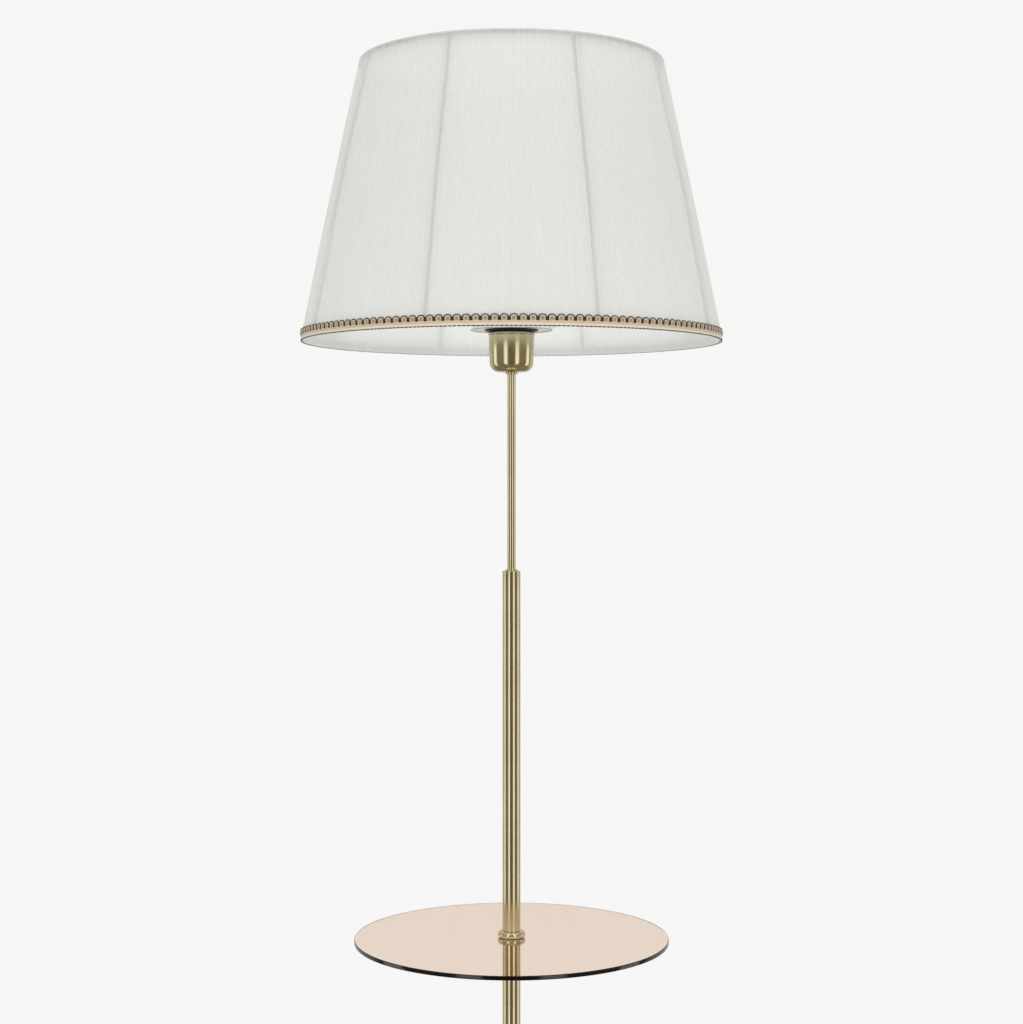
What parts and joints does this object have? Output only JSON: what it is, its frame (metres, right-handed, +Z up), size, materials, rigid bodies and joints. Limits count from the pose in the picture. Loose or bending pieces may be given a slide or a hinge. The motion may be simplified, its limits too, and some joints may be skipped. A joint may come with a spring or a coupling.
{
  "type": "floor lamp with table",
  "caption": "Floor lamp: weighted round base, brass pole carrying a round tinted glass table, and a pleated white drum shade with a braided lower edge over a screw lampholder.",
  "frame": {"origin": "centre of the base on the floor, under the pole", "axes": "+Z up along the pole, front faces -Y, +X to the right seen from the front, cord inlet at +Y"},
  "size_m": [0.4012, 0.4012, 1.5],
  "materials": {
    "antique_brass": "satin antique brass, fine drawn lines along the tubes",
    "zinc_steel": "zinc plated steel",
    "cast_iron": "rough cast, black",
    "felt": "black felt",
    "black_plastic": "moulded black thermoset, satin",
    "clear_plastic": "translucent natural nylon",
    "ceramic": "unglazed white ceramic",
    "contact_brass": "bright stamped brass",
    "tinted_glass": "clear glass with a light bronze tint, polished",
    "white_enamel": "white enamelled steel, semi-gloss",
    "pleated_cloth": "off-white organza in fine upright pleats",
    "lining_cloth": "plain off-white cloth, folded over the wire",
    "braid": "woven beige braid with dark brown loops",
    "opal_glass": "opal white",
    "white_plastic": "white moulded plastic",
    "bulb_metal": "bright rolled aluminium",
    "bulb_insulation": "black glass-like insulation",
    "brown_insulation": "brown wire insulation",
    "blue_insulation": "blue wire insulation"
  },
  "bodies": {
    "stand": {"base_ballast": "cast_iron", "base_bead": "antique_brass", "base_cover": "antique_brass", "base_nut": "zinc_steel", "base_stud": "zinc_steel", "base_washer": "zinc_steel", "centre_contact": "contact_brass", "clamp_ring_lower": "black_plastic", "cord_bushing": "black_plastic", "cup_nut": "zinc_steel", "foot_pad": "felt", "holder_cup": "antique_brass", "holder_dome": "black_plastic", "holder_insert": "ceramic", "holder_nipple": "zinc_steel", "holder_shell": "contact_brass", "holder_skirt": "black_plastic", "holder_terminal_screws": "zinc_steel", "live_wire": "brown_insulation", "lower_tube": "antique_brass", "lower_tube_foot_plug": "zinc_steel", "lower_tube_head_plug": "zinc_steel", "middle_tube": "antique_brass", "middle_tube_foot_plug": "zinc_steel", "neck_ring": "antique_brass", "neutral_wire": "blue_insulation", "table_bead_lower": "antique_brass", "table_bead_upper": "antique_brass", "table_bush": "clear_plastic", "table_glass": "tinted_glass", "table_stud": "zinc_steel", "table_washer_lower": "clear_plastic", "table_washer_upper": "clear_plastic", "terminal_block": "clear_plastic", "terminal_block_screws": "zinc_steel", "thin_tube": "antique_brass", "tube_cap": "antique_brass"},
    "shade": {"fitter_plate": "white_enamel", "fitter_arms": "white_enamel", "shade_bottom_ring": "white_enamel", "shade_top_ring": "white_enamel", "shade_ribs": "white_enamel", "shade_fabric": "pleated_cloth", "shade_hem": "lining_cloth", "shade_top_fold": "lining_cloth", "shade_braid": "braid"},
    "clamp_ring": {"clamp_ring_upper": "black_plastic"},
    "bulb": {"bulb_contact": "bulb_metal", "bulb_insulator": "bulb_insulation", "bulb_cap": "bulb_metal", "bulb_collar": "white_plastic", "bulb_globe": "opal_glass"}
  },
  "joints": [
    {"name": "shade_turn", "type": "hinge", "parent": "stand", "child": "shade", "pos_m": [0, 0, 1.2456], "axis": [0, 0, 1], "continuous": true},
    {"name": "ring_unscrew", "type": "slide", "parent": "stand", "child": "clamp_ring", "axis": [0, 0, 1], "range_m": [0, 0.02]},
    {"name": "bulb_unscrew", "type": "slide", "parent": "stand", "child": "bulb", "axis": [0, 0, 1], "range_m": [0, 0.03]}
  ]
}
